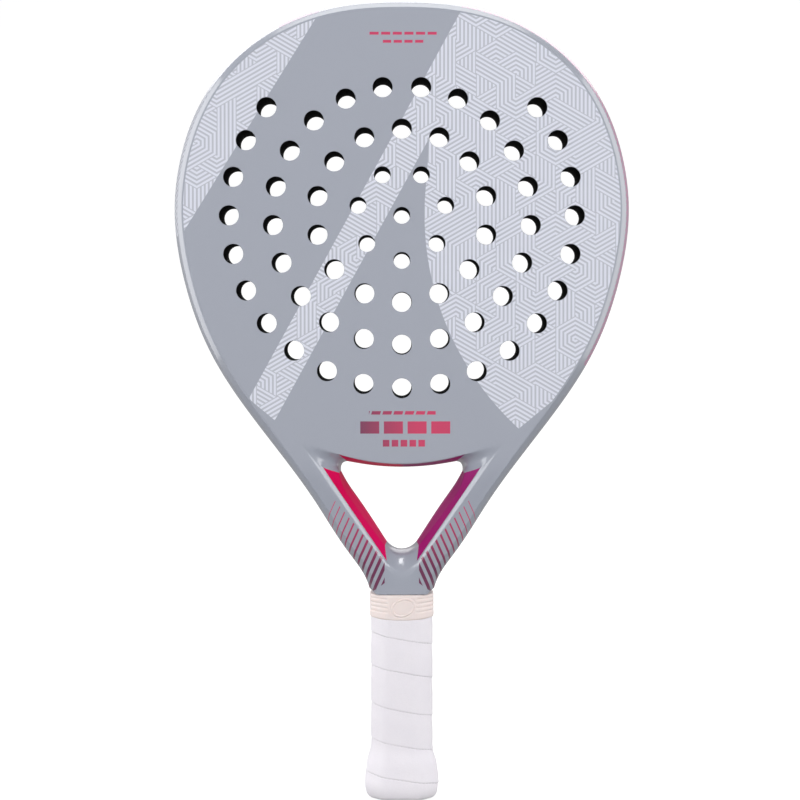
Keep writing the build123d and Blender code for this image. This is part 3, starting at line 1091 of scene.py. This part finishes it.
def collar_material():
    """Soft cream rubber."""
    g = Graph("cream_rubber", Roughness=0.5, Subsurface_Weight=0.15, Specular_IOR_Level=0.4)
    g.shader.inputs["Subsurface Radius"].default_value = (0.004, 0.003, 0.0025)
    cloud = g.noise(0.15, 3)
    g.set("Base Color", g.mix(cloud, linear(238, 224, 220), linear(244, 231, 228)))
    g.bump(g.noise(1.8, 3), 0.03)
    return g.material


def plastic_material(name, colour, worn):
    """Moulded plastic with a light grain."""
    g = Graph(name, Roughness=0.48)
    g.set("Base Color", g.mix(g.noise(0.4, 4) * 0.4, colour, worn))
    g.bump(g.noise(2.2, 3), 0.03)
    return g.material


def steel_material():
    g = Graph("staple_steel", Metallic=1.0, Roughness=0.3)
    g.set("Base Color", g.mix(g.noise(2.0, 3), linear(176, 178, 182), linear(150, 152, 156)))
    g.bump(g.noise(6.0, 2), 0.01)
    return g.material


def finish_cad_nodes():
    """Materials for the CAD nodes that stay: the cap, and what is hidden inside the handle and tube."""
    finishes = {
        "butt_cap": plastic_material("butt_cap_plastic", linear(226, 224, 230), linear(205, 202, 209)),
        "handle_shell": plastic_material("handle_foam_shell", linear(60, 60, 64), linear(84, 84, 88)),
        "butt_cap_staples": steel_material(),
        "handle_foam": foam_material("handle_foam", linear(225, 215, 185), linear(240, 232, 208), 1.0),
    }
    for node, material in finishes.items():
        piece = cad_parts[node]
        piece.data.materials.clear()
        piece.data.materials.append(material)


# ---------------------------------------------------------------- camera, floor and light


def aim(thing, target):
    way = Vector(target) - thing.location
    thing.rotation_mode = "QUATERNION"
    thing.rotation_quaternion = way.to_track_quat("-Z", "Y")


def make_camera():
    data = bpy.data.cameras.new("camera")
    data.lens = CAMERA_LENS
    data.sensor_width = 36.0
    data.clip_end = 50.0
    data.shift_y = CAMERA_SHIFT_UP
    camera = bpy.data.objects.new("camera", data)
    bpy.context.scene.collection.objects.link(camera)
    camera.location = CAMERA_PLACE
    aim(camera, CAMERA_TARGET)
    bpy.context.scene.camera = camera


def make_floor():
    """A pale floor that curves up into a backdrop all round. It doesn't light the object."""
    g = Graph("studio_floor", Roughness=0.9, Specular_IOR_Level=0.0)
    tone = g.noise(0.002, 2)
    g.set("Base Color", g.mix(tone, (0.30, 0.30, 0.30, 1), (0.34, 0.34, 0.34, 1)))
    g.set("Emission Color", (1, 1, 1, 1))
    g.set("Emission Strength", 0.85)
    body = Builder()
    rows = []
    profile = [(0, 0), (1500, 0), (2200, 0), (2600, 60), (2900, 300), (3000, 700), (3000, 3000)]
    for reach, height in profile:
        turns = np.linspace(0, 2 * math.pi, 96, endpoint=False)
        rows.append([(reach * math.cos(t), reach * math.sin(t), height) for t in turns])
    body.grid(rows, closed=True)
    mesh = bpy.data.meshes.new("floor")
    mesh.from_pydata([Vector(v) * MM for v in body.vertices], [], body.faces)
    mesh.materials.append(g.material)
    mesh.shade_smooth()
    floor = bpy.data.objects.new("floor", mesh)
    floor.visible_diffuse = False
    floor.visible_glossy = False
    floor.visible_shadow = False
    bpy.context.scene.collection.objects.link(floor)


def soft_box(name, place, target, width, height, power):
    data = bpy.data.lights.new(name, "AREA")
    data.shape = "RECTANGLE"
    data.size, data.size_y = width, height
    data.energy = power
    light = bpy.data.objects.new(name, data)
    bpy.context.scene.collection.objects.link(light)
    light.location = place
    aim(light, target)


def make_light():
    scene = bpy.context.scene
    scene.view_settings.view_transform = "Standard"
    world = bpy.data.worlds.new("studio")
    world.use_nodes = True
    world.node_tree.nodes["Background"].inputs["Color"].default_value = (1, 1, 1, 1)
    world.node_tree.nodes["Background"].inputs["Strength"].default_value = 0.33
    scene.world = world
    middle = (0, 0, 0.25)
    soft_box("left_box", (-0.95, -1.6, 0.35), middle, 0.5, 1.0, 8)
    soft_box("right_box", (0.95, -1.6, 0.35), middle, 0.5, 1.0, 7.5)
    soft_box("left_edge_box", (-1.45, 0.4, 0.45), middle, 1.5, 1.8, 16)
    soft_box("right_edge_box", (1.45, 0.4, 0.45), middle, 1.5, 1.8, 12)
    soft_box("key_box", (0.1, -1.5, 1.9), (0, 0, 0.15), 0.55, 0.5, 12)
    soft_box("front_fill", (0.0, -2.3, 0.4), middle, 1.8, 1.2, 4)
    soft_box("top_box", (0.0, 0.45, 1.9), middle, 1.6, 1.0, 10)
    soft_box("back_box", (0.0, 2.0, 1.7), middle, 2.4, 1.6, 16)


make_camera()
paint, accent = paint_material(), accent_material()
moulded_frame(paint, accent)
face_plates(paint, laminate_material())
foam_core(foam_material("black_eva_foam", linear(3, 3, 3), linear(8, 8, 9), 0.5))
grip_wrap(grip_material())
rubber_collar(collar_material())
finishing_tape(plastic_material("tape_film", linear(228, 226, 232), linear(240, 238, 243)))
bridge_filler(foam_material("bridge_foam", linear(225, 215, 185), linear(240, 232, 208), 0.8))
finish_cad_nodes()
make_floor()
make_light()
